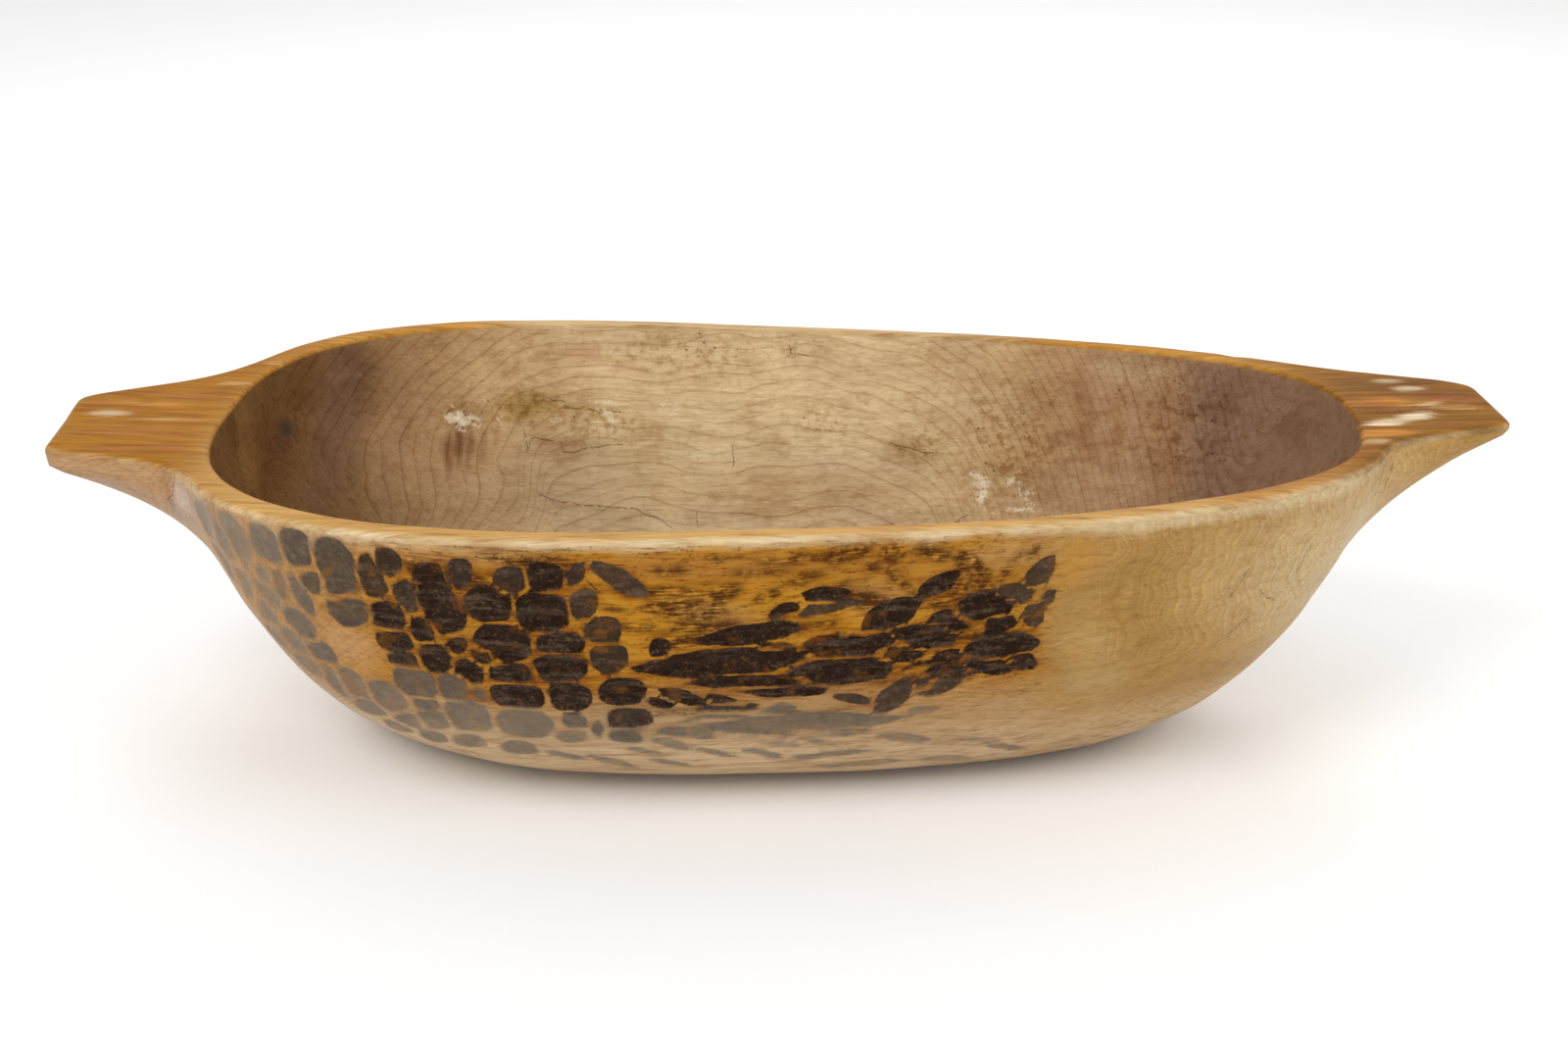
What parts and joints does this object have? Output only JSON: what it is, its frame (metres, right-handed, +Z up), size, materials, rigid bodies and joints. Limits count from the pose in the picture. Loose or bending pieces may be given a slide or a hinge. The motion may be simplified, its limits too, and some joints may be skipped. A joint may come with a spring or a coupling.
{
  "type": "carved wooden bowl",
  "caption": "Long hand-hewn wooden trough bowl, wider at one end, with a flat lug handle at each end and a scorched gouged front.",
  "frame": {"origin": "on the table, below the middle of the overall length and width", "axes": "+X along the bowl towards its narrow end, +Z up, and -Y is the stained and gouged front"},
  "size_m": [0.7127, 0.3208, 0.17],
  "materials": {
    "wood": "satin"
  },
  "bodies": {
    "root": {"bowl": "wood"}
  },
  "joints": []
}
